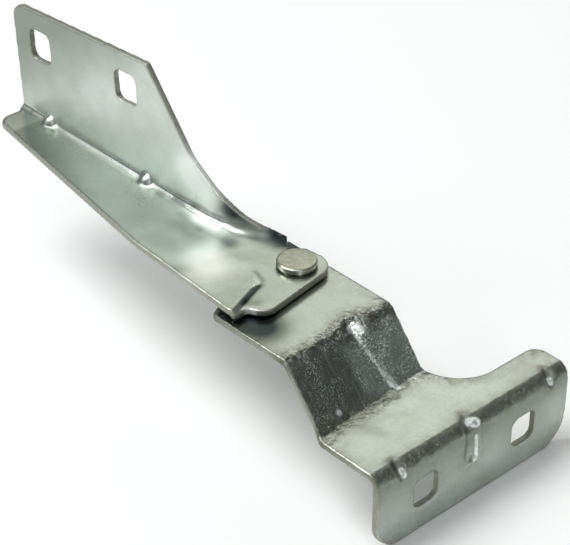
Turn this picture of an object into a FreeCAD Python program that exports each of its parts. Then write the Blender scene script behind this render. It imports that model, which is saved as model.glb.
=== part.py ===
import FreeCAD, Part
import math
import os

# Bonnet hinge: two stamped steel leaves on one shouldered rivet, sizes in mm.
# The leaves are drawn round the pivot axis, which stands along Z at X = Y = 0.
# Z = 0 is the top of the bracket's pivot plate. The arm runs to -X, the bracket to +X.
# "Near" is the -Y side and "far" is the +Y side. At the end everything moves to the body seat.

# Sheet
SHEET = 2.5              # thickness of both leaves
BEND_R = 2.5             # inside radius of the bracket's bends
FOLD_R = 2.5             # inside radius of the arm's fold

# Pivot rivet and washer
SHANK_R = 3.5            # staked shank in the bracket
SHOULDER_R = 4.0         # bearing shoulder in the arm
SHANK_CLEAR = 0.02       # radial gap, shank to bracket hole
BEARING_CLEAR = 0.05     # radial gap, shoulder to arm hole
END_FLOAT = 0.05         # axial gap on each side of the pad
COLLAR_R = 5.8
COLLAR_H = 0.8
HEAD_R = 7.2
HEAD_H = 1.9
HEAD_ROUND = 0.9
TAIL_R = 6.0
TAIL_H = 2.2
TAIL_BEVEL = 1.1
WASHER_R = 8.5
WASHER_H = 0.5

# Body bracket
PLATE_NEAR = 37.4        # pivot to the near edge
PLATE_FAR = 11.4         # pivot to the far edge
PLATE_END = 12.5         # pivot to the rounded end
PLATE_END_R = 10.0
PLATE_SLANT = 11.5       # how far the near corner of the end stands back
STEP_X = 34.7            # pivot to the first bend
STEP_DROP = 20.7         # pivot plate down to the lower plate
STEP_ANGLE = 54.7        # slope of the step below level
STEP_SKEW = 0.08         # the foot of the step runs this much off square
SEAT_X = 80.1            # pivot to the body seat
SEAT_DEPTH = 31.0        # lower plate down to the bottom edge of the seat flange
SEAT_NEAR = 39.4         # pivot to the near edge of the seat flange
SEAT_FAR = 51.4          # pivot to its far edge
SEAT_CORNER_R = 11.0
EAR_X = 64.6             # pivot to the front edge of the far ear
EAR_R = 17.0             # sweep into the far ear
EAR_ROOT = 15.4          # pivot to the lower plate's far edge at the ear
EASE_R = 10.0            # easing of the plan's shallow corners
EAR_CORNER_R = 5.0
SEAT_HOLE = 11.0
SEAT_HOLE_R = 2.8
SEAT_HOLE_PITCH = 46.6
SEAT_HOLE_DROP = 16.0    # lower plate down to the hole centres
SEAT_HOLE_MID = 6.4      # pivot to the middle of the pair

# Stiffening darts of the bracket: reach on the upper face, reach down, half width
STEP_DART_Y = -7.0
STEP_DART_REACH = 4.9
STEP_DART_DOWN = 9.0
STEP_DART_HALF = 6.5
SEAT_DART_Y = 4.3
SEAT_DART_REACH = 6.0
SEAT_DART_DOWN = 8.0
SEAT_DART_HALF = 7.0
END_DART_NEAR_Y = -28.5
END_DART_FAR_Y = 43.0
END_DART_REACH = 5.0
END_DART_DOWN = 6.5
END_DART_HALF = 6.0

# Channels that run on from the two middle darts
STEP_CHANNEL_R = 8.0
STEP_CHANNEL_DEEP = 1.35
STEP_CHANNEL_Y = -12.2       # where its middle leaves the first bend
STEP_CHANNEL_DRIFT = 7.6     # it runs this far sideways down the step
STEP_CHANNEL_LONG = 20.8
SEAT_CHANNEL_R = 5.0
SEAT_CHANNEL_DEEP = 1.4
SEAT_CHANNEL_DOWN = 13.4

# How far a dart's tool stands out of the surface that it is pressed into
DART_GROW = 1.15

# Bonnet arm
ARM_RISE = 1.6           # joggle from the pad up to the flange
ARM_END = 149.5          # pivot to the free end
WEB_FACE = 4.5           # pivot to the near face of the web
WEB_END_H = 43.4         # web above the flange at the free end
WEB_PEAK_X = 73.4        # pivot to the web's upper inner corner
WEB_SLOPE = 3.7          # slope of the web's top edge
WEB_CORNER_R = 6.0
WEB_PEAK_R = 1.5
SLOPE_FOOT_X = 50.0      # where the straight slope of the web ends
SLOPE_FOOT_H = 20.0
CURL_X = 42.0            # where the fold starts to curl away from the pivot
CURL_R = 40.0
CURL_TURN = 46.0
CURL_MID_X = 27.0
CURL_MID_H = 5.8
CURL_END_H = -0.8
FLANGE_END_Y = 17.8      # pivot to the flange's outer edge at the free end
FLANGE_END_CUT = 1.2     # the flange stops this much short of the web
FLANGE_MID_X = 47.0
FLANGE_MID_Y = 33.2
FLANGE_CORNER_R = 6.0
NOSE_X = 8.6             # near corner of the flange, beside the pad
NOSE_Y = 36.3
NOSE_R = 3.2
NOTCH_X = 7.7            # inner corner between the nose and the pad
NOTCH_Y = 29.6
NOTCH_R = 1.5
PAD_END = 14.2           # pivot to the pad's end at its near side
PAD_NEAR = 26.1
PAD_NEAR_R = 6.0
PAD_END_FAR = 8.3        # pivot to the pad's end at its far side
PAD_FAR = 11.4
PAD_FAR_R = 8.5
WAIST_X = 8.0            # the far edge dips here, behind the rivet
WAIST_Y = 9.5

# Low land round the rivet: its corners on the pad, and the widths of the slopes up to the flange
LAND_NEAR_X = 12.0
LAND_NEAR_Y = 45.0
LAND_MID_X = 0.3
LAND_MID_Y = 14.8
LAND_BACK_X = 15.3
LAND_BACK_Y = 1.0
LAND_FAR_Y = 16.3
CREASE_WIDE = 1.6
BACK_WIDE = 5.0
FAR_WIDE = 6.0
ARM_HOLE = 12.0
ARM_HOLE_R = 3.0
ARM_HOLE_PITCH = 50.7
ARM_HOLE_X = 136.0       # pivot to the outer hole
ARM_HOLE_H = 30.7        # outer hole above the flange
FOLD_BUMP_XS = (131.6, 74.2)
FOLD_BUMP_R = 2.7
FOLD_BUMP_IN = 0.6       # bump's middle to the sharp corner of the fold

# Levels and faces that follow from the sizes above
PAD_BOTTOM = WASHER_H + END_FLOAT
PAD_TOP = PAD_BOTTOM + SHEET
FLANGE_TOP = PAD_TOP + ARM_RISE
FLANGE_BOTTOM = FLANGE_TOP - SHEET
HEAD_SEAT = PAD_TOP + END_FLOAT
WEB_BACK = WEB_FACE - SHEET
LOWER_Z = -STEP_DROP
STEP_RUN = STEP_DROP / math.tan(math.radians(STEP_ANGLE))
STEP_ALONG = FreeCAD.Vector(math.cos(math.radians(STEP_ANGLE)), 0, -math.sin(math.radians(STEP_ANGLE)))
STEP_OUT = FreeCAD.Vector(-STEP_ALONG.z, 0, STEP_ALONG.x)
HOLE_Z = LOWER_Z - SEAT_HOLE_DROP
WEB_PEAK_H = WEB_END_H + (ARM_END - WEB_PEAK_X) * math.tan(math.radians(WEB_SLOPE))


def vec(x, y, z):
    return FreeCAD.Vector(x, y, z)


# Closed outline of corners (u, v, radius). "place" turns (u, v) into a point in space.
def rounded_wire(corners, place):
    edges = []
    last = None
    first = None
    count = len(corners)
    for i in range(count):
        u0, v0, _ = corners[i - 1]
        u1, v1, r = corners[i]
        u2, v2, _ = corners[(i + 1) % count]
        a = FreeCAD.Vector(u0 - u1, v0 - v1, 0)
        b = FreeCAD.Vector(u2 - u1, v2 - v1, 0)
        a.normalize()
        b.normalize()
        half = a.getAngle(b) / 2
        if r == 0 or half > math.radians(89.9):
            start = mid = end = (u1, v1)
        else:
            cut = r / math.tan(half)
            start = (u1 + a.x * cut, v1 + a.y * cut)
            end = (u1 + b.x * cut, v1 + b.y * cut)
            inward = a + b
            inward.normalize()
            deep = r / math.sin(half) - r
            mid = (u1 + inward.x * deep, v1 + inward.y * deep)
        if last is None:
            first = start
        else:
            edges.append(Part.makeLine(place(*last), place(*start)))
        if start != end:
            edges.append(Part.Arc(place(*start), place(*mid), place(*end)).toShape())
        last = end
    edges.append(Part.makeLine(place(*last), place(*first)))
    return Part.Wire(edges)


# Upright prism of a plan outline between two levels
def plan_prism(corners, z0, z1):
    face = Part.Face(rounded_wire(corners, lambda u, v: vec(u, v, z0)))
    return face.extrude(vec(0, 0, z1 - z0))


# Prism of an outline seen from the near side, (x, z), between two depths
def side_prism(corners, y0, y1):
    face = Part.Face(rounded_wire(corners, lambda u, v: vec(u, y0, v)))
    return face.extrude(vec(0, y1 - y0, 0))


# Prism of an outline seen along X, (y, z)
def end_prism(corners, x0, x1):
    face = Part.Face(rounded_wire(corners, lambda u, v: vec(x0, u, v)))
    return face.extrude(vec(x1 - x0, 0, 0))


# Corners of a square with rounded corners, turned by an angle
def square(u, v, size, r, turn=0.0):
    c = math.cos(math.radians(turn)) * size / 2
    s = math.sin(math.radians(turn)) * size / 2
    return [(u - c + s, v - s - c, r), (u + c + s, v + s - c, r), (u + c - s, v + s + c, r), (u - c - s, v - s + c, r)]


# Four-cornered dart across a bend: two tips on the faces, two points on the bend line.
# It is enlarged about the middle of its ridge, so that only the two faces at the ridge show.
def dart(tip_a, tip_b, side_a, side_b):
    middle = (tip_a + tip_b) * 0.5
    corners = [middle + (p - middle) * DART_GROW for p in (tip_a, tip_b, side_a, side_b)]
    faces = []
    for skip in range(4):
        ring = [p for i, p in enumerate(corners) if i != skip]
        faces.append(Part.Face(Part.makePolygon(ring + [ring[0]])))
    solid = Part.makeSolid(Part.makeShell(faces))
    if solid.Volume < 0:
        solid.reverse()
    return solid


# Side outline of the bent strip at one depth: the top line first, then the underside
def strip_section(y):
    foot = STEP_X + STEP_RUN - STEP_SKEW * y
    angle = math.atan2(STEP_DROP, foot - STEP_X)
    lean = SHEET * math.tan(angle / 2)
    bottom = LOWER_Z - SEAT_DEPTH
    end = -PLATE_END - SHEET
    outer = BEND_R + SHEET
    corners = [
        (end, 0, 0),
        (STEP_X, 0, outer),
        (foot, LOWER_Z, BEND_R),
        (SEAT_X, LOWER_Z, outer),
        (SEAT_X, bottom, 0),
        (SEAT_X - SHEET, bottom, 0),
        (SEAT_X - SHEET, LOWER_Z - SHEET, BEND_R),
        (foot - lean, LOWER_Z - SHEET, outer),
        (STEP_X - lean, -SHEET, BEND_R),
        (end, -SHEET, 0),
    ]
    return rounded_wire(corners, lambda u, v: vec(u, y, v))


# Plan outline of the bracket, from the rounded end to the seat and its far ear
def bracket_plan():
    near_ear = SEAT_NEAR - PLATE_NEAR
    foot = STEP_X + STEP_RUN
    return [
        (-PLATE_END, PLATE_FAR, PLATE_END_R),
        (-PLATE_END, -PLATE_NEAR + 2 * PLATE_SLANT, PLATE_END_R),
        (-PLATE_END + PLATE_SLANT, -PLATE_NEAR, BEND_R),
        (foot, -PLATE_NEAR, EASE_R),
        (foot + 2 * near_ear, -SEAT_NEAR, EASE_R),
        (SEAT_X + SHEET, -SEAT_NEAR, 0),
        (SEAT_X + SHEET, SEAT_FAR, 0),
        (EAR_X, SEAT_FAR, EAR_CORNER_R),
        (EAR_X, EAR_ROOT, EAR_R),
        (STEP_X, PLATE_FAR, EASE_R),
    ]


# Dart pressed into an outside bend: hollow outside, matching swell inside
def press_dart(solid, hollow, inset):
    swell = hollow.copy()
    swell.translate(inset)
    return solid.fuse(swell).cut(hollow)


def make_bracket():
    near = -SEAT_NEAR - SHEET
    far = SEAT_FAR + SHEET
    strip = Part.makeLoft([strip_section(near), strip_section(far)], True, True)
    low = LOWER_Z - SEAT_DEPTH - SHEET
    bracket = strip.common(plan_prism(bracket_plan(), low, SHEET))
    seat = [
        (-SEAT_NEAR, LOWER_Z - SEAT_DEPTH, SEAT_CORNER_R),
        (SEAT_FAR, LOWER_Z - SEAT_DEPTH, SEAT_CORNER_R),
        (SEAT_FAR, SHEET, 0),
        (-SEAT_NEAR, SHEET, 0),
    ]
    bracket = bracket.common(end_prism(seat, -PLATE_END - SHEET, SEAT_X + SHEET))
    bracket = press_channel(bracket, step_channel(), STEP_OUT * SHEET, vec(STEP_X, 0, 0), STEP_ALONG)
    bracket = press_dart(bracket, step_dart(), vec(-SHEET * math.tan(math.radians(STEP_ANGLE / 2)), 0, -SHEET))
    square_inset = vec(-SHEET, 0, -SHEET)
    bracket = press_channel(bracket, seat_channel(), vec(SHEET, 0, 0), vec(SEAT_X, 0, LOWER_Z), vec(0, 0, -1))
    seat_dart = bend_dart(SEAT_DART_Y, SEAT_DART_REACH, SEAT_DART_DOWN, SEAT_DART_HALF)
    bracket = press_dart(bracket, seat_dart, square_inset)
    for y in (END_DART_NEAR_Y, END_DART_FAR_Y):
        bracket = press_dart(bracket, bend_dart(y, END_DART_REACH, END_DART_DOWN, END_DART_HALF), square_inset)
    for side in (-1, 1):
        y = SEAT_HOLE_MID + side * SEAT_HOLE_PITCH / 2
        hole = square(y, HOLE_Z, SEAT_HOLE, SEAT_HOLE_R)
        bracket = bracket.cut(end_prism(hole, SEAT_X - 2 * SHEET, SEAT_X + SHEET))
    bore = Part.makeCylinder(SHANK_R + SHANK_CLEAR, 3 * SHEET, vec(0, 0, -2 * SHEET))
    return bracket.cut(bore)


# The dart across the first bend
def step_dart():
    tip = vec(STEP_X - STEP_DART_REACH, STEP_DART_Y, 0)
    foot = vec(STEP_X, STEP_DART_Y, 0) + STEP_ALONG * STEP_DART_DOWN
    near = vec(STEP_X, STEP_DART_Y - STEP_DART_HALF, 0)
    far = vec(STEP_X, STEP_DART_Y + STEP_DART_HALF, 0)
    return dart(tip, foot, near, far)


# Channel pressed into a flat face: hollow outside, matching swell inside.
# The swell only counts below the middle of the sheet.
def press_channel(solid, hollow, through, top, along):
    swell = hollow.copy()
    swell.translate(-through)
    start = top - through * 0.5
    end = start + along * SEAT_DEPTH
    corners = [start, end, end - through * 2, start - through * 2]
    below = side_prism([(p.x, p.z, 0) for p in corners], -SEAT_NEAR, SEAT_FAR)
    return solid.fuse(swell.common(below)).cut(hollow)


# Round-ended rod whose side is pressed into a face
def rod(start, end, radius):
    run = end - start
    body = Part.makeCylinder(radius, run.Length, start, run)
    return body.fuse([Part.makeSphere(radius, start), Part.makeSphere(radius, end)])


# The shallow channel that runs down the step
def step_channel():
    lift = STEP_OUT * (STEP_CHANNEL_R - STEP_CHANNEL_DEEP)
    start = vec(STEP_X, STEP_CHANNEL_Y, 0) + lift
    end = start + STEP_ALONG * STEP_CHANNEL_LONG + vec(0, STEP_CHANNEL_DRIFT, 0)
    return rod(start, end, STEP_CHANNEL_R)


# The shallow channel that runs down the seat flange
def seat_channel():
    x = SEAT_X + SEAT_CHANNEL_R - SEAT_CHANNEL_DEEP
    start = vec(x, SEAT_DART_Y, LOWER_Z)
    return rod(start, start + vec(0, 0, -SEAT_CHANNEL_DOWN), SEAT_CHANNEL_R)


# A dart across the bend between the lower plate and the seat flange
def bend_dart(y, reach, down, half):
    tip = vec(SEAT_X - reach, y, LOWER_Z)
    foot = vec(SEAT_X, y, LOWER_Z - down)
    return dart(tip, foot, vec(SEAT_X, y - half, LOWER_Z), vec(SEAT_X, y + half, LOWER_Z))


# Point on the curled part of the fold, at a radius about the curl's centre
def curl_point(radius, turn):
    a = math.radians(turn)
    return (-CURL_X + radius * math.sin(a), -WEB_FACE + CURL_R - radius * math.cos(a))


# Angle section of the arm, seen along X: web, fold and a flange long enough for the widest part
def angle_section():
    top = FLANGE_TOP + WEB_PEAK_H + SHEET
    reach = 2 * NOSE_Y
    return [
        (-WEB_BACK, top, 0),
        (-WEB_FACE, top, 0),
        (-WEB_FACE, FLANGE_TOP, FOLD_R),
        (-reach, FLANGE_TOP, 0),
        (-reach, FLANGE_BOTTOM, 0),
        (-WEB_BACK, FLANGE_BOTTOM, FOLD_R + SHEET),
    ]


# The section runs straight to the curl, then turns about an upright axis on the far side
def angle_bar():
    straight = end_prism(angle_section(), -ARM_END - WEB_CORNER_R, -CURL_X)
    face = Part.Face(rounded_wire(angle_section(), lambda u, v: vec(-CURL_X, u, v)))
    curl = face.revolve(vec(-CURL_X, CURL_R - WEB_FACE, 0), vec(0, 0, 1), CURL_TURN)
    return straight.fuse(curl)


# Plan outline of flange and pad. The web keeps its full length; the far side is left open.
def arm_plan(far_x, far_corner):
    stop = -ARM_END + FLANGE_END_CUT
    return [
        (far_x, far_corner[1], 0),
        (far_x, -WEB_FACE, 0),
        (stop, -WEB_FACE - FOLD_R, 0),
        (stop, -FLANGE_END_Y, FLANGE_CORNER_R),
        (-FLANGE_MID_X, -FLANGE_MID_Y, 12 * FLANGE_CORNER_R),
        (NOSE_X, -NOSE_Y, NOSE_R),
        (NOTCH_X, -NOTCH_Y, NOTCH_R),
        (PAD_END, -PAD_NEAR, PAD_NEAR_R),
        (PAD_END_FAR, PAD_FAR, PAD_FAR_R),
        (-WAIST_X, WAIST_Y, PAD_FAR_R),
        (far_corner[0], far_corner[1], 0),
    ]


# Where two lines cross, each given by a point and a direction
def crossing(p, along_p, q, along_q):
    gap = q - p
    turn = along_p.x * along_q.y - along_p.y * along_q.x
    return p + along_p * ((gap.x * along_q.y - gap.y * along_q.x) / turn)


# Outline of the low land at one level, each side moved out by its own margin
def land_ring(z, share, trail):
    corners = [
        vec(LAND_NEAR_X, -LAND_NEAR_Y, z),
        vec(LAND_MID_X, -LAND_MID_Y, z),
        vec(-LAND_BACK_X, -LAND_BACK_Y, z),
        vec(0, LAND_FAR_Y, z),
        vec(LAND_NEAR_Y, LAND_FAR_Y, z),
        vec(LAND_NEAR_Y, -LAND_NEAR_Y, z),
    ]
    lines = []
    for i, wide in enumerate((CREASE_WIDE, BACK_WIDE, FAR_WIDE, 0, 0, 0)):
        along = (corners[(i + 1) % 6] - corners[i]).normalize()
        margin = wide * share
        if wide and trail:
            margin += SHEET * math.tan(math.atan2(ARM_RISE, wide) / 2)
        lines.append((corners[i] + vec(-along.y, along.x, 0) * margin, along))
    return [crossing(*lines[i - 1], *lines[i]) for i in range(6)]


# Block over the low land between two levels. Its sides slope from one outline to the other.
def land_block(z0, share0, z1, share1, trail=False):
    low = land_ring(z0, share0, trail)
    high = land_ring(z1, share1, trail)
    faces = [Part.Face(Part.makePolygon(ring + [ring[0]])) for ring in (low, high)]
    for i in range(6):
        side = [low[i - 1], low[i], high[i], high[i - 1], low[i - 1]]
        faces.append(Part.Face(Part.makePolygon(side)))
    solid = Part.makeSolid(Part.makeShell(faces))
    if solid.Volume < 0:
        solid.reverse()
    return solid


def make_arm():
    curl_end = curl_point(CURL_R - SHEET, CURL_TURN)
    wide = arm_plan(-ARM_END - WEB_CORNER_R, (PAD_END_FAR, CURL_R))
    arm = angle_bar().common(plan_prism(wide, FLANGE_BOTTOM - SHEET, FLANGE_TOP + 2 * WEB_PEAK_H))
    near_side = side_prism(web_outline(0), -2 * NOSE_Y, -WEB_FACE)
    far_side = side_prism(web_outline(CURL_END_H), -WEB_FACE, 2 * NOSE_Y)
    arm = arm.common(near_side.fuse(far_side))
    arm = arm.cut(land_block(PAD_TOP, 0, FLANGE_TOP, 1))
    arm = arm.cut(land_block(FLANGE_TOP, 1, FLANGE_TOP + WEB_PEAK_H, 1))
    blank = plan_prism(arm_plan(-ARM_END, curl_end), PAD_BOTTOM, PAD_TOP)
    low = blank.common(land_block(PAD_BOTTOM, 0, FLANGE_BOTTOM, 1, True))
    high = blank.common(land_block(FLANGE_BOTTOM, 0, PAD_TOP, 0))
    arm = arm.fuse([low, high]).removeSplitter()
    for x in FOLD_BUMP_XS:
        arm = fold_bump(arm, -x)
    for turn in range(2):
        run = turn * ARM_HOLE_PITCH
        x = -ARM_HOLE_X + run * math.cos(math.radians(WEB_SLOPE))
        z = FLANGE_TOP + ARM_HOLE_H + run * math.sin(math.radians(WEB_SLOPE))
        hole = square(x, z, ARM_HOLE, ARM_HOLE_R, WEB_SLOPE)
        arm = arm.cut(side_prism(hole, -WEB_FACE - SHEET, -WEB_BACK + SHEET))
    bore = Part.makeCylinder(SHOULDER_R + BEARING_CLEAR, 3 * SHEET, vec(0, 0, PAD_BOTTOM - SHEET))
    return arm.cut(bore)


# Outline of the arm seen from the near side, as (x, z). It ends this high at the pivot.
def web_outline(end_h):
    top = FLANGE_TOP
    lean = WEB_END_H * math.tan(math.radians(WEB_SLOPE))
    curl_end = curl_point(CURL_R, CURL_TURN)[0]
    return [
        (-ARM_END, FLANGE_BOTTOM - SHEET, 0),
        (-ARM_END, top, 0),
        (-ARM_END - lean, top + WEB_END_H, WEB_CORNER_R),
        (-WEB_PEAK_X, top + WEB_PEAK_H, WEB_PEAK_R),
        (-SLOPE_FOOT_X, top + SLOPE_FOOT_H, 3 * WEB_CORNER_R),
        (-CURL_MID_X, top + CURL_MID_H, 3 * WEB_CORNER_R),
        (curl_end, top + end_h, WEB_PEAK_R),
        (ARM_END, top + end_h, 0),
        (ARM_END, FLANGE_BOTTOM - SHEET, 0),
    ]


# Round bump pressed out of the fold, with its hollow behind
def fold_bump(arm, x):
    middle = vec(x, -WEB_FACE - FOLD_BUMP_IN, FLANGE_TOP + FOLD_BUMP_IN)
    inset = SHEET * math.sin(math.radians(45))
    swell = Part.makeSphere(FOLD_BUMP_R, middle)
    hollow = Part.makeSphere(FOLD_BUMP_R, middle + vec(0, inset, -inset))
    return arm.fuse(swell).cut(hollow)


# Shouldered rivet turned about the pivot axis: tail, shank, shoulder, collar, head
def make_rivet():
    tail = -SHEET - TAIL_H
    collar_top = HEAD_SEAT + COLLAR_H
    head_top = collar_top + HEAD_H
    half = [
        (0, tail, 0),
        (TAIL_R - TAIL_BEVEL, tail, 0),
        (TAIL_R, tail + TAIL_BEVEL, 0),
        (TAIL_R, -SHEET, 0),
        (SHANK_R, -SHEET, 0),
        (SHANK_R, 0, 0),
        (SHOULDER_R, 0, 0),
        (SHOULDER_R, HEAD_SEAT, 0),
        (COLLAR_R, HEAD_SEAT, 0),
        (COLLAR_R, collar_top, 0),
        (HEAD_R, collar_top, 0),
        (HEAD_R, head_top, HEAD_ROUND),
        (0, head_top, 0),
    ]
    face = Part.Face(rounded_wire(half, lambda u, v: vec(u, 0, v)))
    return face.revolve(vec(0, 0, 0), vec(0, 0, 1), 360)


def make_washer():
    disc = Part.makeCylinder(WASHER_R, WASHER_H)
    return disc.cut(Part.makeCylinder(SHOULDER_R + BEARING_CLEAR, WASHER_H))


# The seat's middle, between its two holes, becomes the origin
def placed(shape):
    moved = shape.copy()
    moved.translate(vec(-SEAT_X, -SEAT_HOLE_MID, -HOLE_Z))
    return moved


pieces = {
    "bonnet_arm": make_arm(),
    "body_bracket": make_bracket(),
    "pivot_rivet": make_rivet(),
    "thrust_washer": make_washer(),
}

os.makedirs("parts", exist_ok=True)
for name, shape in pieces.items():
    solid = placed(shape)
    solid.exportStep("parts/" + name + ".step")
    box = solid.BoundBox
    print(name, "solids", len(solid.Solids), "valid", solid.isValid(), "volume", round(solid.Volume, 1))
    print("  from", round(box.XMin, 1), round(box.YMin, 1), round(box.ZMin, 1))
    print("  to  ", round(box.XMax, 1), round(box.YMax, 1), round(box.ZMax, 1))
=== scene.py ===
# %% [markdown]
# # Bonnet hinge: two pressed steel leaves on one rivet
# A hinge of this kind carries a bonnet. Its bracket bolts to the body, its arm bolts to the
# bonnet, and the arm swings on a rivet with a thin washer. The frame holds their solids at
# their real sizes, in metres. They could be modelled again from nothing, but their sizes are
# right already, so this lesson adds only what a solid lacks: soft press work, sheared edges, a
# hammered rivet and a worn plating, in a small studio.

# %% The frame
import math
import bpy
import numpy
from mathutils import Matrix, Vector
from mathutils.bvhtree import BVHTree


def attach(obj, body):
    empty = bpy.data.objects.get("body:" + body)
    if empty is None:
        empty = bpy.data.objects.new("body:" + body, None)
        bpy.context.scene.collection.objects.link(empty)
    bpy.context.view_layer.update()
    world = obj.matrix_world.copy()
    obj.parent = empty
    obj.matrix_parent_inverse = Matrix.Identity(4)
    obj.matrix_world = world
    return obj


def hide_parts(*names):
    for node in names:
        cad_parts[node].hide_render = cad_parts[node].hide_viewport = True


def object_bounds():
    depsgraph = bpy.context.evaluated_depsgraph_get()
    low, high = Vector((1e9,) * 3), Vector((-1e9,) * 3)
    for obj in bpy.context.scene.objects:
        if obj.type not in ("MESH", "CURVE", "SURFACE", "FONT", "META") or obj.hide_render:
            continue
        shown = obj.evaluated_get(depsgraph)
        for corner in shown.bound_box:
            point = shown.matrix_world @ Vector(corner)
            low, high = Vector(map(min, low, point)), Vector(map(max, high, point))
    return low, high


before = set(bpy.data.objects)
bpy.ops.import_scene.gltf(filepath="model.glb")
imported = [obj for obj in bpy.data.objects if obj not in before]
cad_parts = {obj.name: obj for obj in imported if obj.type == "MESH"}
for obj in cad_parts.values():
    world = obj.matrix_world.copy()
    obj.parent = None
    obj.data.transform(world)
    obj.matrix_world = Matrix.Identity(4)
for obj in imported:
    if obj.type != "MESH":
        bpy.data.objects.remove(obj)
cad_low, cad_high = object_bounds()
MM = 0.001
print("The hinge is", [round(s / MM, 1) for s in cad_high - cad_low], "mm")

# %% [markdown]
# ## The camera
# The photograph was taken from well back with a long lens, so parallel edges stay nearly
# parallel. A camera could be aimed by eye, but then the edges never quite line up. Here its
# place, its turn in degrees and its lens come from matching the hinge's own edges.

# %% Camera
CAMERA_PLACE = (0.341323, -0.399484, 0.424640)
CAMERA_TURN = (56.057, -0.164, 47.508)
SENSOR = 36
LENS = 128.47

scene = bpy.context.scene
camera = bpy.data.objects.new("camera", bpy.data.cameras.new("camera"))
scene.collection.objects.link(camera)
scene.camera = camera
camera.data.sensor_width = SENSOR
camera.data.lens = LENS
camera.data.clip_start = 10 * MM
camera.location = CAMERA_PLACE
camera.rotation_euler = [math.radians(angle) for angle in CAMERA_TURN]
scene.view_settings.view_transform = "Standard"
print("The camera stands", round(camera.location.length, 2), "m away")

# %% [markdown]
# ## The floor
# A plain pale sheet under the hinge. It also shows in the metal, so its colour matters twice.
# Its material is made of nodes, like all the others here. Nodes could be placed by hand in the
# shader editor, but a script can be read and run again. The helper below makes one node: a
# value that is another node's output is linked, and any other value is set. Inputs go by name,
# or by number, such as _0, where several share a name.

# %% Floor
FLOOR_SIZE = 14
FLOOR_GAP = 0.2 * MM
PALE = (0.95, 0.95, 0.945, 1)


def tree_of(owner):
    owner.use_nodes = True
    owner.node_tree.nodes.clear()
    return owner.node_tree


def plug(tree, value, socket):
    if isinstance(value, bpy.types.NodeSocket):
        tree.links.new(value, socket)
    else:
        socket.default_value = value


def node(tree, kind, settings=None, **values):
    made = tree.nodes.new(kind)
    for name, value in (settings or {}).items():
        setattr(made, name, value)
    for name, value in values.items():
        key = int(name[1:]) if name[1:].isdigit() else name.replace("_", " ")
        plug(tree, value, made.inputs[key])
    return made


bpy.ops.mesh.primitive_plane_add(size=FLOOR_SIZE, location=(0, 0, cad_low.z - FLOOR_GAP))
floor = bpy.context.object
floor.name = "floor"
paper = bpy.data.materials.new("pale_paper")
paper_tree = tree_of(paper)
diffuse = node(paper_tree, "ShaderNodeBsdfDiffuse", Color=PALE)
node(paper_tree, "ShaderNodeOutputMaterial", Surface=diffuse.outputs[0])
floor.data.materials.append(paper)
print("Floor at", round(floor.location.z / MM, 1), "mm")

# %% [markdown]
# ## The room
# Bare metal has hardly any colour of its own: it shows the room. So the room comes before the
# metal. A picture of a real room could be wrapped round the scene, but soft patches drawn with
# nodes are easier to move until the metal looks right. Each patch is a cone about one
# direction that fades from its inner angle to its outer angle, in degrees. A patch with a
# level below zero takes light away.

# %% World
ROOM_LEVEL = 0.18
DARKEST = 0.02
WARM_WALL = (-0.46, 0.60, 0.66)
CEILING = (0.10, -0.30, 0.95)
NEAR_WALL = (-0.52, -0.66, 0.545)
CAMERA_SIDE = (0.45, -0.75, 0.50)
RIGHT_BACK = (0.70, 0.56, 0.42)
WARM_TINT = (1, 1, 0.88, 1)
COOL_TINT = (0.95, 1, 1, 1)

world = bpy.data.worlds.new("studio")
scene.world = world
room = tree_of(world)
direction = node(room, "ShaderNodeTexCoord").outputs["Generated"]


def maths(tree, operation, *values):
    inputs = {f"_{i}": value for i, value in enumerate(values)}
    return node(tree, "ShaderNodeMath", {"operation": operation}, **inputs).outputs[0]


def summed(total, *others):
    for other in others:
        total = maths(room, "ADD", total, other)
    return total


def glow(towards, inner, outer, level):
    aim = Vector(towards).normalized()
    dot = {"operation": "DOT_PRODUCT"}
    nearness = node(room, "ShaderNodeVectorMath", dot, _0=direction, _1=aim).outputs["Value"]
    spread = node(
        room,
        "ShaderNodeMapRange",
        {"interpolation_type": "SMOOTHSTEP"},
        Value=nearness,
        From_Min=math.cos(math.radians(outer)),
        From_Max=math.cos(math.radians(inner)),
        To_Max=level,
    )
    return spread.outputs[0]


warm = glow(WARM_WALL, inner=8, outer=27, level=0.80)
ceiling = glow(CEILING, inner=10, outer=32, level=1.5)
near = glow(NEAR_WALL, inner=8, outer=19, level=0.92)
dark = glow(CAMERA_SIDE, inner=20, outer=48, level=-0.14)
dark_back = glow(RIGHT_BACK, inner=15, outer=45, level=-0.012)
walls = maths(room, "MAXIMUM", summed(ROOM_LEVEL, dark, dark_back), DARKEST)
cool = summed(walls, ceiling, near)
warm_part = node(room, "ShaderNodeBackground", Color=WARM_TINT, Strength=warm).outputs[0]
cool_part = node(room, "ShaderNodeBackground", Color=COOL_TINT, Strength=cool).outputs[0]
both = node(room, "ShaderNodeAddShader", _0=warm_part, _1=cool_part)
node(room, "ShaderNodeOutputWorld", Surface=both.outputs[0])
print("The room takes", len(room.nodes), "nodes")

# %% [markdown]
# ## The lamps
# Round soft boxes. A point lamp would show in the metal as a hard dot, and a soft box shows as
# a gleam. The key lamp stands high on the left and lights the floor and the fold, the near one
# shines in the web's curled end and again in the flange, and two small ones, at the right and
# at the back, catch the pressed forms. Each is given by its direction, its distance, its width
# and how bright its face looks. Its power follows from the last two.

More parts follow.
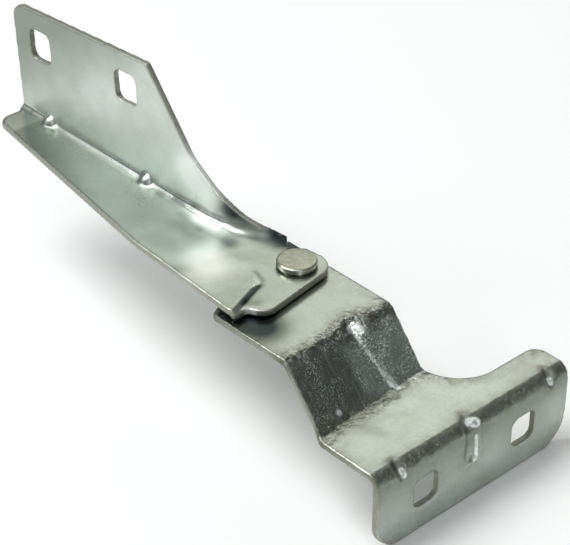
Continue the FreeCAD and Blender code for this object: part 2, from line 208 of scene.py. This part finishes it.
# %% Lamps
def softbox(name, towards, away, size, radiance, colour=(1, 1, 1)):
    lamp = bpy.data.lights.new(name, "AREA")
    lamp.shape = "DISK"
    lamp.size = size
    lamp.energy = radiance * math.pi * math.pi * size * size / 4
    lamp.color = colour
    box = bpy.data.objects.new(name, lamp)
    scene.collection.objects.link(box)
    aim = Vector(towards).normalized()
    middle = (cad_low + cad_high) / 2
    box.location = middle + aim * away
    box.rotation_mode = "QUATERNION"
    box.rotation_quaternion = aim.to_track_quat("Z", "Y")
    print(name, "at", [round(v, 2) for v in box.location])


softbox("key_lamp", (-0.35, -0.35, 0.87), away=2.2, size=1.3, radiance=7.8)
softbox("near_softbox", NEAR_WALL, away=1.3, size=0.36, radiance=3.8, colour=(0.95, 0.98, 1))
softbox("right_lamp", (0.81, -0.365, 0.42), away=1.4, size=0.25, radiance=9)
softbox("back_lamp", (-0.34, 0.85, 0.39), away=1.4, size=0.18, radiance=5)

# %% [markdown]
# ## A finish and its marks
# The real plate isn't the same all over, and some of its light and shade is painted on it too.
# An image could be painted for it, but an image needs the mesh unwrapped. Instead each kind
# of place is marked on the mesh's own vertices, as an attribute, and the material reads these
# marks by name: sheared for the cut edges, strained for the bends, one mark for painted shade
# (dark reflections and shadows), one for painted highlights, chalky where those highlights
# don't shine as a mirror, worn near the edges, one for a brown mottle in the bends that also
# paints their shade and the shade in the holes, and matt where the plate is rougher.
# The rest is noise from Object coordinates, so its scale is real. The helpers below each add
# one step to a finish.

# %% Finish helpers
MIX_SOCKETS = {
    "RGBA": ("A_Color", "B_Color", "Result_Color"),
    "FLOAT": ("A_Float", "B_Float", "Result_Float"),
}


class Finish:
    def __init__(self, name):
        self.material = bpy.data.materials.new(name)
        self.tree = tree_of(self.material)
        self.place = self.node("ShaderNodeTexCoord").outputs["Object"]

    def node(self, kind, settings=None, **values):
        return node(self.tree, kind, settings, **values)

    def mark(self, name):
        return self.node("ShaderNodeAttribute", {"attribute_name": name}).outputs["Fac"]

    def noise(self, scale, detail, roughness, stretch=None):
        where = self.place
        if stretch:
            where = self.node("ShaderNodeMapping", Vector=where, Scale=stretch).outputs[0]
        values = {"Scale": scale, "Detail": detail, "Roughness": roughness}
        return self.node("ShaderNodeTexNoise", Vector=where, **values).outputs[0]

    def ramp(self, value, low, high, to_low=0.0, to_high=1.0):
        limits = {"From_Min": low, "From_Max": high, "To_Min": to_low, "To_Max": to_high}
        return self.node("ShaderNodeMapRange", Value=value, **limits).outputs[0]

    def product(self, first, second):
        return maths(self.tree, "MULTIPLY", first, second)

    def mixed(self, share, low, high, kind="RGBA"):
        made = self.node("ShaderNodeMix", {"data_type": kind})
        first, second, result = MIX_SOCKETS[kind]
        sockets = {socket.identifier: socket for socket in made.inputs}
        for name, value in (("Factor_Float", share), (first, low), (second, high)):
            plug(self.tree, value, sockets[name])
        return {socket.identifier: socket for socket in made.outputs}[result]

    def bump(self, height, depth, **below):
        return self.node("ShaderNodeBump", Height=height, Distance=depth, **below).outputs[0]

    def surface(self, **values):
        metal = self.node("ShaderNodeBsdfPrincipled", **values)
        self.node("ShaderNodeOutputMaterial", Surface=metal.outputs[0])
        print(self.material.name, "takes", len(self.tree.nodes), "nodes")


# %% [markdown]
# ## The plate's colour
# Bright zinc on rolled steel: a pale, slightly green metal, hazy in patches and finely
# speckled. Wear turns it brown near an edge, and painted shade darkens it where its reflections
# and shadows should look darker, nearly to black where they are darkest.
# One colour ramp could hold all of it, but each layer mixed over the last is easier to follow.

# %% Zinc colour
PLATE = (0.61, 0.67, 0.625)
HAZE = (0.82, 0.81, 0.77)
SPECK = (0.30, 0.33, 0.31, 1)
WORN = (0.46, 0.42, 0.31, 1)
PAINTED_SHADE_TINT = (0.27, 0.30, 0.26, 1)
DEEP_PAINTED_SHADE_TINT = (0.045, 0.06, 0.065, 1)
STREAK = (0.90, 0.94, 0.90, 1)

zinc = Finish("zinc_plate")
sheared = zinc.mark("sheared")
strained = zinc.mark("strained")
painted_shade = zinc.mark("painted_shade")
cloud = zinc.noise(55, 5, 0.62)
blotch = zinc.noise(300, 5, 0.7)

hazy = [part * share for part, share in zip(PLATE, HAZE)] + [1]
face = zinc.mixed(zinc.ramp(cloud, 0.38, 0.66), (*PLATE, 1), hazy)
specks = zinc.ramp(zinc.noise(900, 3, 0.7), 0.40, 0.72, 0, 0.2)
face = zinc.mixed(specks, face, SPECK)
wear = zinc.product(zinc.mark("worn"), zinc.ramp(blotch, 0.42, 0.60, 0.35, 1.5))
face = zinc.mixed(wear, face, WORN)
# Painted shade: this mark darkens the plate where its reflections and shadows should be dark,
# and above one it paints deep shade, nearly black.
face = zinc.mixed(painted_shade, face, PAINTED_SHADE_TINT)
face = zinc.mixed(zinc.ramp(painted_shade, 1, 2), face, DEEP_PAINTED_SHADE_TINT)
streaks = zinc.noise(1100, 3, 0.65, stretch=(0.07, 1, 0.07))
strain_streaks = zinc.product(strained, zinc.ramp(streaks, 0.52, 0.74, 0, 0.35))
face = zinc.mixed(strain_streaks, face, STREAK)
print("Plate colour", PLATE, "in haze", [round(part, 2) for part in hazy[:3]])

# %% [markdown]
# ## Edges, stains, painted shade and painted highlights
# The shears leave a brown, ribbed edge with hardly any plating. The ribs cross the sheet, so
# their noise is stretched along it. A brown mottle lies in the pressed bends and is darkened
# there as painted shade, and the same dark paints shade on the web's hole walls. Highlights
# are painted on in a near-white, with a ragged border where the metal was strained.

# %% Edge colour
EDGE_DARK = (0.22, 0.22, 0.18, 1)
EDGE_PALE = (0.52, 0.53, 0.45, 1)
STAIN_AND_SHADE_TINT = (0.15, 0.15, 0.11, 1)
PAINTED_HIGHLIGHT_TINT = (0.95, 0.985, 0.96, 1)

ribs = zinc.noise(1500, 3, 0.7, stretch=(1, 0.12, 1))
colour = zinc.mixed(sheared, face, zinc.mixed(ribs, EDGE_DARK, EDGE_PALE))
# A brown mottle in the bends, darkened further as painted shade; on the arm this mark only
# paints shade on the hole walls.
stain_and_shade_share = zinc.product(zinc.mark("stain_and_shade"), zinc.ramp(blotch, 0.36, 0.56, 0.2, 1))
colour = zinc.mixed(stain_and_shade_share, colour, STAIN_AND_SHADE_TINT)
# Painted highlights: near-white spots and lines that stand in for gleams, with a ragged rim in
# the strained bends.
raggedness = zinc.product(strained, zinc.ramp(blotch, 0.42, 0.58, -0.7, 0.7))
ragged = zinc.ramp(raggedness, -1, 1, 0, 2)
colour = zinc.mixed(zinc.product(zinc.mark("painted_highlight"), ragged), colour, PAINTED_HIGHLIGHT_TINT)
print("The colour takes", len(zinc.tree.nodes), "nodes")

# %% [markdown]
# ## Grain and gloss
# The plate has a fine grain and a slow waviness, its strained bends a grit that varies in
# depth, its stained bends a dimpling, and its cut edges their ribs. These are too fine for the
# mesh, so they are bumps, each laid over the one before. The gloss follows the haze: a hazy
# patch is a little rougher, a matt one more, and a chalky spot stops being a mirror.

# %% Zinc surface
GRAIN_DEPTH = 0.006 * MM
WAVE_DEPTH = 0.4 * MM
GRIT_DEPTH = (0.03 * MM, 0.16 * MM)
STAIN_DEPTH = 1.4 * MM
RIB_DEPTH = 0.15 * MM
DULL = 0.24
EDGE_DULL = 0.52
MATT_DULL = 0.13

grit = zinc.ramp(zinc.noise(1500, 4, 0.75), 0.54, 0.80)
grit_depth = zinc.ramp(zinc.noise(120, 3, 0.6), 0.40, 0.62, *GRIT_DEPTH)
bump = zinc.bump(zinc.noise(1300, 3, 0.65), GRAIN_DEPTH)
bump = zinc.bump(grit, zinc.product(strained, grit_depth), Normal=bump)
bump = zinc.bump(zinc.noise(28, 1, 0.4), WAVE_DEPTH, Normal=bump)
stain_depth = zinc.product(zinc.mark("stain_and_shade"), STAIN_DEPTH)
bump = zinc.bump(zinc.noise(260, 2, 0.55), stain_depth, Normal=bump)
bump = zinc.bump(ribs, zinc.product(sheared, RIB_DEPTH), Normal=bump)

rough = zinc.ramp(cloud, 0.3, 0.7, DULL - 0.04, DULL + 0.05)
rough = maths(zinc.tree, "MULTIPLY_ADD", zinc.mark("matt"), MATT_DULL, rough)
rough = zinc.mixed(sheared, rough, EDGE_DULL, "FLOAT")
shine = zinc.ramp(zinc.mark("chalky"), 0, 1, 1, 0)
zinc.surface(Metallic=shine, Base_Color=colour, Roughness=rough, Normal=bump)

# %% [markdown]
# ## The two leaves
# Each leaf is one pressed sheet. It could be given rounded edges with a Bevel modifier, but a
# solid's mesh is long thin triangles, and Bevel tears them. So a copy of the solid is remeshed
# into small even faces, and a Smooth modifier eases all its edges a little, as zinc plate does.

# %% Leaves
PIVOT = Vector((-80.1, -6.4, 36.7)) * MM
MERGE = 0.002 * MM
VOXEL = 0.45 * MM
EASING_ROUNDS = 6


def select_only(thing):
    bpy.ops.object.select_all(action="DESELECT")
    thing.select_set(True)
    bpy.context.view_layer.objects.active = thing


def leaf_copy(node_name, name, body):
    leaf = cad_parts[node_name].copy()
    leaf.data = leaf.data.copy()
    leaf.name = name
    leaf.parent = None
    scene.collection.objects.link(leaf)
    select_only(leaf)
    bpy.ops.object.mode_set(mode="EDIT")
    bpy.ops.mesh.select_all(action="SELECT")
    bpy.ops.mesh.remove_doubles(threshold=MERGE)
    bpy.ops.object.mode_set(mode="OBJECT")
    remesh = leaf.modifiers.new("even_mesh", "REMESH")
    remesh.mode = "VOXEL"
    remesh.voxel_size = VOXEL
    bpy.ops.object.modifier_apply(modifier=remesh.name)
    smooth = leaf.modifiers.new("rounded_edges", "SMOOTH")
    smooth.factor = 0.5
    smooth.iterations = EASING_ROUNDS
    bpy.ops.object.modifier_apply(modifier=smooth.name)
    bpy.ops.object.shade_smooth()
    leaf.data.materials.clear()
    leaf.data.materials.append(zinc.material)
    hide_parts(node_name)
    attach(leaf, body)
    print(name, len(leaf.data.polygons), "faces")
    return leaf


arm = leaf_copy("bonnet_arm", "arm_leaf", "arm")
bracket = leaf_copy("body_bracket", "bracket_leaf", "bracket")

# %% [markdown]
# ## Which vertices are on a cut edge
# The press stretches the faces of a sheet and leaves its sheared edges crisp, so the two are
# told apart first. A person would select them by hand. Here a ray goes from each vertex into
# the metal: below a face the other face is one sheet away, and below an edge nothing is near.
# Places are in millimetres from the pivot: x along the hinge, y across it and z up.

# %% Depth below each vertex
SHEET = 2.5 * MM
RAY_START = 0.05 * MM


def depth_inside(leaf):
    mesh = leaf.data
    corners = [vertex.co for vertex in mesh.vertices]
    tree = BVHTree.FromPolygons(corners, [face.vertices for face in mesh.polygons])
    depths = numpy.empty(len(mesh.vertices))
    for i, vertex in enumerate(mesh.vertices):
        start = vertex.co - vertex.normal * RAY_START
        far = tree.ray_cast(start, -vertex.normal)[3]
        depths[i] = far if far is not None else 0
    return depths / SHEET


def places_of(leaf):
    flat = numpy.empty(3 * len(leaf.data.vertices))
    leaf.data.vertices.foreach_get("co", flat)
    return (flat.reshape(-1, 3) - numpy.array(PIVOT)) / MM


def normals_of(leaf):
    flat = numpy.empty(3 * len(leaf.data.vertices))
    leaf.data.vertex_normals.foreach_get("vector", flat)
    return flat.reshape(-1, 3)


arm_depth = depth_inside(arm)
bracket_depth = depth_inside(bracket)
for leaf, depth in ((arm, arm_depth), (bracket, bracket_depth)):
    print(leaf.name, "is", round(float(numpy.median(depth)), 2), "sheets deep at most places")

# %% [markdown]
# ## Regions, fades and blurs
# By hand, a region would be selected or brushed. In a script it is given by distances to its
# limits: the least of them says how far inside it a vertex lies. A fade turns such a distance
# into a share from 0 to 1. A blur spreads a mark over the mesh: in each round a vertex keeps
# half of its own value and takes half from its neighbours.

# %% Regions
EDGE_FROM = 1.2
EDGE_FADE = 0.3


def clipped(values):
    return numpy.clip(values, 0, 1)


def fade(values, start, width):
    return clipped((values - start) / width)


def inside(*distances):
    return numpy.minimum.reduce(distances)


def between(values, low, high):
    return numpy.minimum(values - low, high - values)


def blurred(leaf, values, rounds):
    pairs = numpy.empty(2 * len(leaf.data.edges), dtype=numpy.int64)
    leaf.data.edges.foreach_get("vertices", pairs)
    a, b = pairs.reshape(-1, 2).T
    size = len(values)
    count = numpy.bincount(a, minlength=size) + numpy.bincount(b, minlength=size)
    for _ in range(rounds):
        around = numpy.bincount(a, values[b], size) + numpy.bincount(b, values[a], size)
        values = 0.5 * values + 0.5 * around / count
    return values


def edge_of(depth):
    return fade(depth, EDGE_FROM, EDGE_FADE)


for leaf, depth in ((arm, arm_depth), (bracket, bracket_depth)):
    print(leaf.name, "has", int((edge_of(depth) == 1).sum()), "vertices deeper than a sheet")

# %% [markdown]
# ## How to soften a part of a leaf
# Sculpting with the Smooth brush would do it by hand. In a script, a vertex group gives each
# vertex its share, and a Smooth modifier follows that group. The share grows from the rim of a
# region towards its middle, so no line shows where the region ends.

# %% Softening
SOFT_LEVELS = 20


def soften(leaf, share, rounds):
    group = leaf.vertex_groups.new(name="soft")
    level = numpy.round(SOFT_LEVELS * clipped(share)).astype(int)
    for step in range(1, SOFT_LEVELS + 1):
        members = numpy.flatnonzero(level == step).tolist()
        group.add(members, step / SOFT_LEVELS, "REPLACE")
    smooth = leaf.modifiers.new("softened", "SMOOTH")
    smooth.factor = 0.5
    smooth.iterations = rounds
    smooth.vertex_group = group.name
    select_only(leaf)
    bpy.ops.object.modifier_apply(modifier=smooth.name)
    leaf.vertex_groups.clear()
    print("Softened", int((level > 0).sum()), "vertices of", leaf.name)


# %% [markdown]
# ## The arm's soft forms
# Near the pivot the arm's upright web curls down into the flange and the flange steps down to
# a pad, and along the rest the fold between web and flange is a wide curve. The far slope
# behind the pad stays crisp, and so do the cut edges. Inside the fold a ray finds more than
# one sheet of metal, so there the depth is held at one, or the fold would count as an edge.

# %% The arm's curl, fold and flange
x, y, z = places_of(arm).T
outer_rim = -17.8 - 0.15 * (x + 149.5)
near_fold = (x > -143) & (x < -24) & (y > outer_rim + 4) & (y < -2.5) & (z < 9)
arm_depth[near_fold] = numpy.minimum(arm_depth[near_fold], 1)
on_face = 1 - clipped(2 * blurred(arm, edge_of(arm_depth), 3))
off_back_slope = numpy.maximum(-19 - x, -y)
curl = inside(between(x, -60, -14), 14 - z, y + 16, off_back_slope) / 8
step_down = inside(between(x, -34, 9), y + 18, 8 * (6.5 - z), off_back_slope) / 6
between_bumps = clipped(between(x, -126, -79) / 5)
fold = (0.1 + 0.2 * between_bumps) * near_fold * (y > -14)
on_top = 20 * (z - 4.2)
flange = inside(between(x, -147, -45), -9.5 - y, y - outer_rim - 3, on_top) / 3
soften(arm, numpy.maximum.reduce([curl, step_down, fold, flange]) * on_face, 200)

# %% [markdown]
# ## The end of the web
# In the solid the web ends in a small upright cut. On the real arm it fades into the flange.
# Only the metal under the web's crest and on its inner side is eased, hard, so the crest and
# the outline stay where they were.

# %% The web's end
x, y, z = places_of(arm).T
crest = 9.1 - 0.478 * (x + 24)
inwards = normals_of(arm) @ numpy.array((0.4, -0.7, 0.6))
along_web = numpy.minimum((x + 33) / 5, (-12 - x) / 3)
across_web = numpy.minimum((y + 10) / 5, (6 - y) / 2)
below_crest = (crest - 0.5 - z) / 0.6
soften(arm, inside(along_web, across_web, below_crest, 3 * inwards), 400)

# %% [markdown]
# ## The bracket's soft forms
# The bracket keeps sharper forms: its darts are pressed hard into the bends. A few rounds
# round off their rims, and the cut edges are left out by their depth.

# %% The bracket's pressed forms
x, y, z = places_of(bracket).T
on_sheet = bracket_depth < 1.6
soften(bracket, on_sheet * inside(between(y, -24, 14), x - 26), 6)

# %% [markdown]
# ## How to mark the metal
# Marks could be painted in Vertex Paint mode. Here each is a soft spot along a short line: its
# two ends in millimetres from the pivot, its radius and its strength. The marks that both
# leaves share come from the mesh itself: cut edges from the depth, bends from the vertex
# normals, and wear as a halo, which is the edge blurred outwards.

# %% Mark helpers
def along(leaf, marks, sharpness=2):
    here = places_of(leaf)
    total = numpy.zeros(len(here))
    for start, end, radius, strength in marks:
        start = numpy.array(start, dtype=float)
        line = numpy.array(end) - start
        share = clipped((here - start) @ line / max(line @ line, 1e-6))
        away = numpy.linalg.norm(here - start - share[:, None] * line, axis=1)
        total += strength * numpy.exp(-((away / radius) ** sharpness))
    return total


def store(leaf, name, values):
    attribute = leaf.data.attributes.new(name, "FLOAT", "POINT")
    attribute.data.foreach_set("value", values.astype(numpy.float32))
    print(leaf.name, name, "up to", round(float(values.max()), 2))


def bends_of(leaf):
    slant = 1 - numpy.abs(normals_of(leaf)).max(axis=1)
    return blurred(leaf, fade(slant, 0.02, 0.12), 10)


def common_marks(leaf, depth, bends, strain):
    halo = clipped(2.2 * blurred(leaf, edge_of(depth), 14))
    store(leaf, "sheared", blurred(leaf, edge_of(depth), 1))
    store(leaf, "worn", 0.5 * halo)
    store(leaf, "strained", strain * bends)
    return halo


# %% [markdown]
# ## The arm's marks
# Painted shade darkens the fold, the foot of the web, the slope behind the pad and parts of
# the flange, as dark reflections and shadows. Painted highlights brighten the curl and the
# flange by the pad. The lists hold the spots that only a look at the real arm can give.

# %% The arm's spots
# Spots of painted shade: dark reflections and shadows on the curled end of the web, the fold
# and its bumps, the crease and far slope by the pad, and the flange.
ARM_PAINTED_SHADE = [
    ((-48, -4.9, 6.6), (-38, -4.4, 8.6), 1.7, 1.1),
    ((-37, -4.4, 9.5), (-31, -2, 12), 3.2, 1.4),
    ((-32, -2, 12.2), (-27, 0, 10.6), 3.6, 1.6),
    ((-30, -3.4, 5.6), (-21, -0.5, 5.2), 2.3, 1.1),
    ((-126, -7.1, 5.6), (-76, -7.4, 5.6), 1.3, 0.3),
    ((-69, -7, 4.7), (-64, -6.6, 4.8), 1.6, 0.7),
    ((-130.5, -8.2, 4.6), (-126, -7.6, 4.7), 1.4, 0.6),
    ((-50, -10.1, 4.6), (-37.7, -11.2, 4.7), 1.6, 0.45),
    ((-37.7, -11.2, 4.7), (-22, -10, 4.7), 1.6, 0.35),
    ((5.4, -29.4, 3.5), (1, -17, 3.2), 1.0, 1.2),
    ((-0.5, -15.2, 3.2), (-5.2, -14, 4), 1.0, 0.9),
    ((5.5, -27.5, 3.2), (7.4, -25.3, 3), 2.2, 0.8),
    ((-17, 5.2, 4), (-9, 8.6, 3.3), 5.3, 2.1),
    ((-56, -19, 4.7), (-37, -18, 4.7), 7.0, 0.4),
    ((-64, -12, 4.7), (-45, -14, 4.7), 6.0, 0.3),
    ((-45, -14.3, 4.7), (-34, -15, 4.7), 4.5, 0.5),
    ((-44, -27, 4.7), (-33, -25, 4.7), 6.0, 0.5),
    ((-24, -33, 4.7), (-23, -32, 4.7), 4.0, 0.8),
    ((-17, -12.5, 4.7), (-14, -12, 4.7), 3.0, 0.45),
]
# Spots of painted highlight: the gleam in the web's curl, along the fold, its reflection on the
# flange, and a glint at the notch.
ARM_PAINTED_HIGHLIGHTS = [
    ((-51, -4.5, 19.5), (-43, -4.5, 14), 7.0, 1.1),
    ((-42.5, -6.4, 4.7), (-34, -4.8, 5.2), 3.2, 1),
    ((-22, -22, 4.7), (-17, -24, 4.7), 7.5, 1.1),
    ((8.4, -30, 1.9), (9.6, -28.6, 1.5), 1.4, 1),
]
ARM_MATT = [
    ((-130, -7.1, 6.1), (-130, -7.1, 6.1), 4.0, 1.5),
    ((-72, -7.4, 5.5), (-72, -7.4, 5.5), 4.0, 1.5),
    ((-126, -7.1, 5.6), (-76, -7.4, 5.6), 1.6, 0.6),
]
WEB_FOOT = [((-27, -3, 6), (-17, 2, 5), 3.5, 0.7)]
print("The arm has", len(ARM_PAINTED_SHADE + ARM_PAINTED_HIGHLIGHTS + ARM_MATT + WEB_FOOT), "spots")

# %% [markdown]
# ## Storing the arm's marks
# Some marks cover a wide area and follow a slope instead of a spot. Painted shade makes the web
# darkest at the top of its outer end, lighter from there, and lays a painted dark reflection on
# the flange that is strongest near that end. Painted light brightens the web a little away from
# its outer end, and painted shade darkens the hole walls that face the pivot. A soft limit on
# each side keeps them from ending in a line.

# %% The arm's marks
halo = common_marks(arm, arm_depth, bends_of(arm), strain=0.02)
x, y, z = places_of(arm).T
up_web = fade(z, 6, 4)
from_tip = 0.01 * (x + 145) + 0.0167 * (48 - z)
# Painted shade: the web's outer top end is darkened to stand in for the dark room it reflects.
outer_end = clipped(1.7 * (0.82 - from_tip)) * (z > 3)
lengthwise = fade(x, -137, 1) * fade(x, -45, -25) * (0.42 + 0.28 * fade(x, -102, -35))
# Painted shade on the flange: the web's dark reflection, strongest near the outer end.
flange_painted_shade = lengthwise * fade(z, 5.8, -0.8) * fade(y, -5.5, -2.5)
store(arm, "painted_shade", outer_end + flange_painted_shade + along(arm, ARM_PAINTED_SHADE))
store(arm, "matt", up_web * (x < -10) + along(arm, ARM_MATT) + halo)

# Painted light: the web grows a little brighter away from its outer end.
web_painted_light = 0.25 * fade(from_tip, 0.5, 0.4) * up_web * (x < -48)
painted_highlight = 0.95 * clipped(web_painted_light + along(arm, ARM_PAINTED_HIGHLIGHTS))
store(arm, "painted_highlight", painted_highlight)
off_flange = (x > 0) | (z > 9)
store(arm, "chalky", 0.6 * painted_highlight * off_flange * fade(x, -60, 6) + along(arm, WEB_FOOT))
# Painted shade on the web's hole walls that face the pivot, which stand in shade.
shaded_hole_walls = (normals_of(arm)[:, 0] > 0.5) * (x < -75) * (z > 12)
store(arm, "stain_and_shade", 0.9 * edge_of(arm_depth) * shaded_hole_walls)

# %% [markdown]
# ## The bracket's marks
# Painted shade lies thick on the near corner of the pivot plate, where the arm's nose shades
# it.
# The rims of the darts and the channels get painted highlights in thin bright lines, so these
# spots fall off more sharply than the arm's.

# %% The bracket's spots
# Spots of painted shade: the shadow under the arm's nose and dark reflections on the bracket.
BRACKET_PAINTED_SHADE = [
    ((0, -38, 0), (15.5, -30.5, 0), 8.5, 2.6),
    ((57, -23.8, -20.7), (64.4, -21.6, -20.7), 2.2, 0.3),
    ((75.6, -30, -21.2), (76.6, -29.6, -23), 1.2, 1.2),
]
# Spots of painted highlight: the glints on the rims of the darts and the channels.
BRACKET_PAINTED_HIGHLIGHTS = [
    ((34, -6.8, -2.2), (35.8, -3.8, -3), 1.7, 1),
    ((36, -6.8, -4.5), (38, -6.3, -5.8), 0.7, 1.2),
    ((38, -6.3, -5.8), (44.8, -2.9, -16.1), 0.6, 0.9),
    ((44.8, -2.9, -16.1), (47.5, -1.7, -18.9), 0.8, 1.2),
    ((47.5, -1.7, -18.9), (50, -0.8, -20.7), 1.2, 1.4),
    ((49.4, -26.9, -18), (49.4, -26.9, -18), 1.1, 1.2),
    ((77.4, 5.2, -22.5), (78.6, 7, -22.9), 1.6, 1.4),
    ((79.3, 6.9, -27.8), (79.7, 7, -36), 0.5, 1.6),
    ((79.8, 6, -36.8), (79.8, 6, -36.8), 0.9, 1),
    ((78.8, -27.4, -24), (79.6, -27.4, -25.4), 1.1, 1),
    ((78.2, 43.5, -24), (78.8, 43.3, -25), 1.1, 1),
]
print("The bracket has", len(BRACKET_PAINTED_SHADE + BRACKET_PAINTED_HIGHLIGHTS), "spots")

# %% [markdown]
# ## Storing the bracket's marks
# Painted shade also darkens the near side of the step and the seat, as dark reflections, more
# towards the seat's top. The flat plates that face up get a little painted light all over. The
# bends' brown mottle with its painted shade, and their mattness, reach further out than they
# are strained, so their mark is blurred outwards by many rounds. On the steep step that dark
# mark is held back, because the step is streaked and speckled instead.

# %% The bracket's marks
SEAT_PAINTED_SHADE_PER_MM = 0.071
bends = bends_of(bracket)
halo = common_marks(bracket, bracket_depth, bends, strain=1)
x, y, z = places_of(bracket).T
# Painted shade: the seat, darker towards its top, and the near side of the step stand in for
# the dark room they reflect.
seat = clipped(SEAT_PAINTED_SHADE_PER_MM * (z + 41.7)) * (x > 76)
on_step = fade(x, 35.5, 3) * fade(x, 51, -3)
near_step = 1.05 * fade(y, -12, -4) * on_step
painted_shade_level = seat + near_step + along(bracket, BRACKET_PAINTED_SHADE)
store(bracket, "painted_shade", painted_shade_level)

near_bends = blurred(bracket, bends, 140)
wide_bends = clipped(3 * blurred(bracket, near_bends, 120))
store(bracket, "matt", 1.4 * clipped(2 * near_bends) * (x > 60) + halo - 0.4 * on_step)
# The bends' brown mottle, darkened as painted shade for the dark room they reflect.
store(bracket, "stain_and_shade", wide_bends * (1 - 0.85 * on_step) * (0.9 - 0.52 * (x > 70)))

painted_highlight = 0.95 * clipped(along(bracket, BRACKET_PAINTED_HIGHLIGHTS, sharpness=5))
# Painted light: plates that face up are made a little brighter.
facing_up = fade(normals_of(bracket)[:, 2], 0.9, 0.08)
upward_plates_painted_light = 0.14 * facing_up * (1 - clipped(painted_shade_level))
store(bracket, "painted_highlight", numpy.maximum(painted_highlight, upward_plates_painted_light))
store(bracket, "chalky", 0.3 * painted_highlight)

# %% [markdown]
# ## Rivet steel
# The rivet's head was hammered, so it is mottled, a little duller and browner than the plate,
# with faint turned rings. The rings could be modelled, but they are finer than a hair, so a
# sine of the distance from the rivet's axis bumps them. The washer is the same steel, tinted
# nearly black as painted shade for the dark gap between the leaves.

# %% Rivet steel
DARK_SHARE = 0.72
RING_WAVES = 4200
RING_DEPTH = 0.005 * MM
HAMMER_DEPTH = 0.03 * MM


def rivet_finish(name, tint, dull):
    steel = Finish(name)
    mottle = steel.ramp(steel.noise(420, 5, 0.65), 0.35, 0.65)
    colour = steel.mixed(mottle, [DARK_SHARE * part for part in tint] + [1], [*tint, 1])
    offset = steel.place
    for operation, other in (("SUBTRACT", PIVOT), ("MULTIPLY", (1, 1, 0))):
        settings = {"operation": operation}
        offset = steel.node("ShaderNodeVectorMath", settings, _0=offset, _1=other).outputs[0]
    length = {"operation": "LENGTH"}
    radius = steel.node("ShaderNodeVectorMath", length, _0=offset).outputs["Value"]
    rings = maths(steel.tree, "SINE", steel.product(radius, RING_WAVES))
    bump = steel.bump(rings, RING_DEPTH)
    bump = steel.bump(steel.noise(1400, 3, 0.65), HAMMER_DEPTH, Normal=bump)
    steel.surface(Metallic=1, Base_Color=colour, Roughness=dull, Normal=bump)
    return steel.material


rivet_steel = rivet_finish("rivet_steel", (0.56, 0.58, 0.48), 0.3)
# The washer's tint is nearly black: painted shade for the gap between the leaves.
washer_steel_in_painted_shade = rivet_finish("washer_in_painted_shade", (0.16, 0.16, 0.15), 0.35)

# %% [markdown]
# ## Turning the rivet
# The rivet has a staked tail, a shank, a shoulder, a collar and a flat round head. It could be
# spun from a profile, but here it grows as on a lathe drawing: it starts as the tail's flat
# end, and each ring is extruded up and scaled. A ring is a radius and a height above the
# pivot. The head's rim is rounded over, and its top closes in a very slight dome.

# %% Rivet
SIDES = 96
HEAD_RADIUS = 7.2
HEAD_TOP = 5.8
HEAD_ROUND = 0.9
DOME = 0.12
ROUND_STEPS = 7
TAIL_TO_HEAD = [
    (4.9, -4.7), (6.0, -3.6), (6.0, -2.5), (3.5, -2.5), (3.5, 0),
    (4.0, 0), (4.0, 3.1), (5.8, 3.1), (5.8, 3.9), (HEAD_RADIUS, 3.9),
]
CREASE_ANGLE = 35


def above_pivot(height):
    return (PIVOT.x, PIVOT.y, PIVOT.z + height * MM)


rings = list(TAIL_TO_HEAD)
for i in range(ROUND_STEPS):
    turn = (i + 1) / ROUND_STEPS * math.pi / 2
    rim = HEAD_TOP - DOME - HEAD_ROUND * (1 - math.sin(turn))
    rings.append((HEAD_RADIUS - HEAD_ROUND * (1 - math.cos(turn)), rim))
for share in (0.75, 0.5, 0.25, 0.1):
    rings.append(((HEAD_RADIUS - HEAD_ROUND) * share, HEAD_TOP - DOME * share * share))

radius, height = rings[0]
bpy.ops.mesh.primitive_circle_add(
    vertices=SIDES, radius=radius * MM, fill_type="NGON", location=above_pivot(height)
)
rivet = bpy.context.object
rivet.name = "rivet"
bpy.ops.object.mode_set(mode="EDIT")
bpy.ops.mesh.select_all(action="SELECT")
for next_radius, next_height in rings[1:]:
    rise = (next_height - height) * MM
    bpy.ops.mesh.extrude_region_move(TRANSFORM_OT_translate={"value": (0, 0, rise)})
    if next_radius != radius:
        share = next_radius / radius
        centre = above_pivot(next_height)
        bpy.ops.transform.resize(value=(share, share, 1), center_override=centre)
    radius, height = next_radius, next_height
bpy.ops.mesh.select_all(action="SELECT")
bpy.ops.mesh.normals_make_consistent(inside=False)
bpy.ops.object.mode_set(mode="OBJECT")
bpy.ops.object.transform_apply(location=True, rotation=True, scale=True)
bpy.ops.object.shade_smooth_by_angle(angle=math.radians(CREASE_ANGLE))
rivet.data.materials.append(rivet_steel)
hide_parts("pivot_rivet")
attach(rivet, "bracket")
print("rivet", len(rivet.data.polygons), "faces")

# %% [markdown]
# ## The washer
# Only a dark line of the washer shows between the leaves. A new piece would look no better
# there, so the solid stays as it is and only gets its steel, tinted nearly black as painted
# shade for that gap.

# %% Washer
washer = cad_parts["thrust_washer"]
washer.data.materials.clear()
washer.data.materials.append(washer_steel_in_painted_shade)
print("washer", len(washer.data.polygons), "faces")
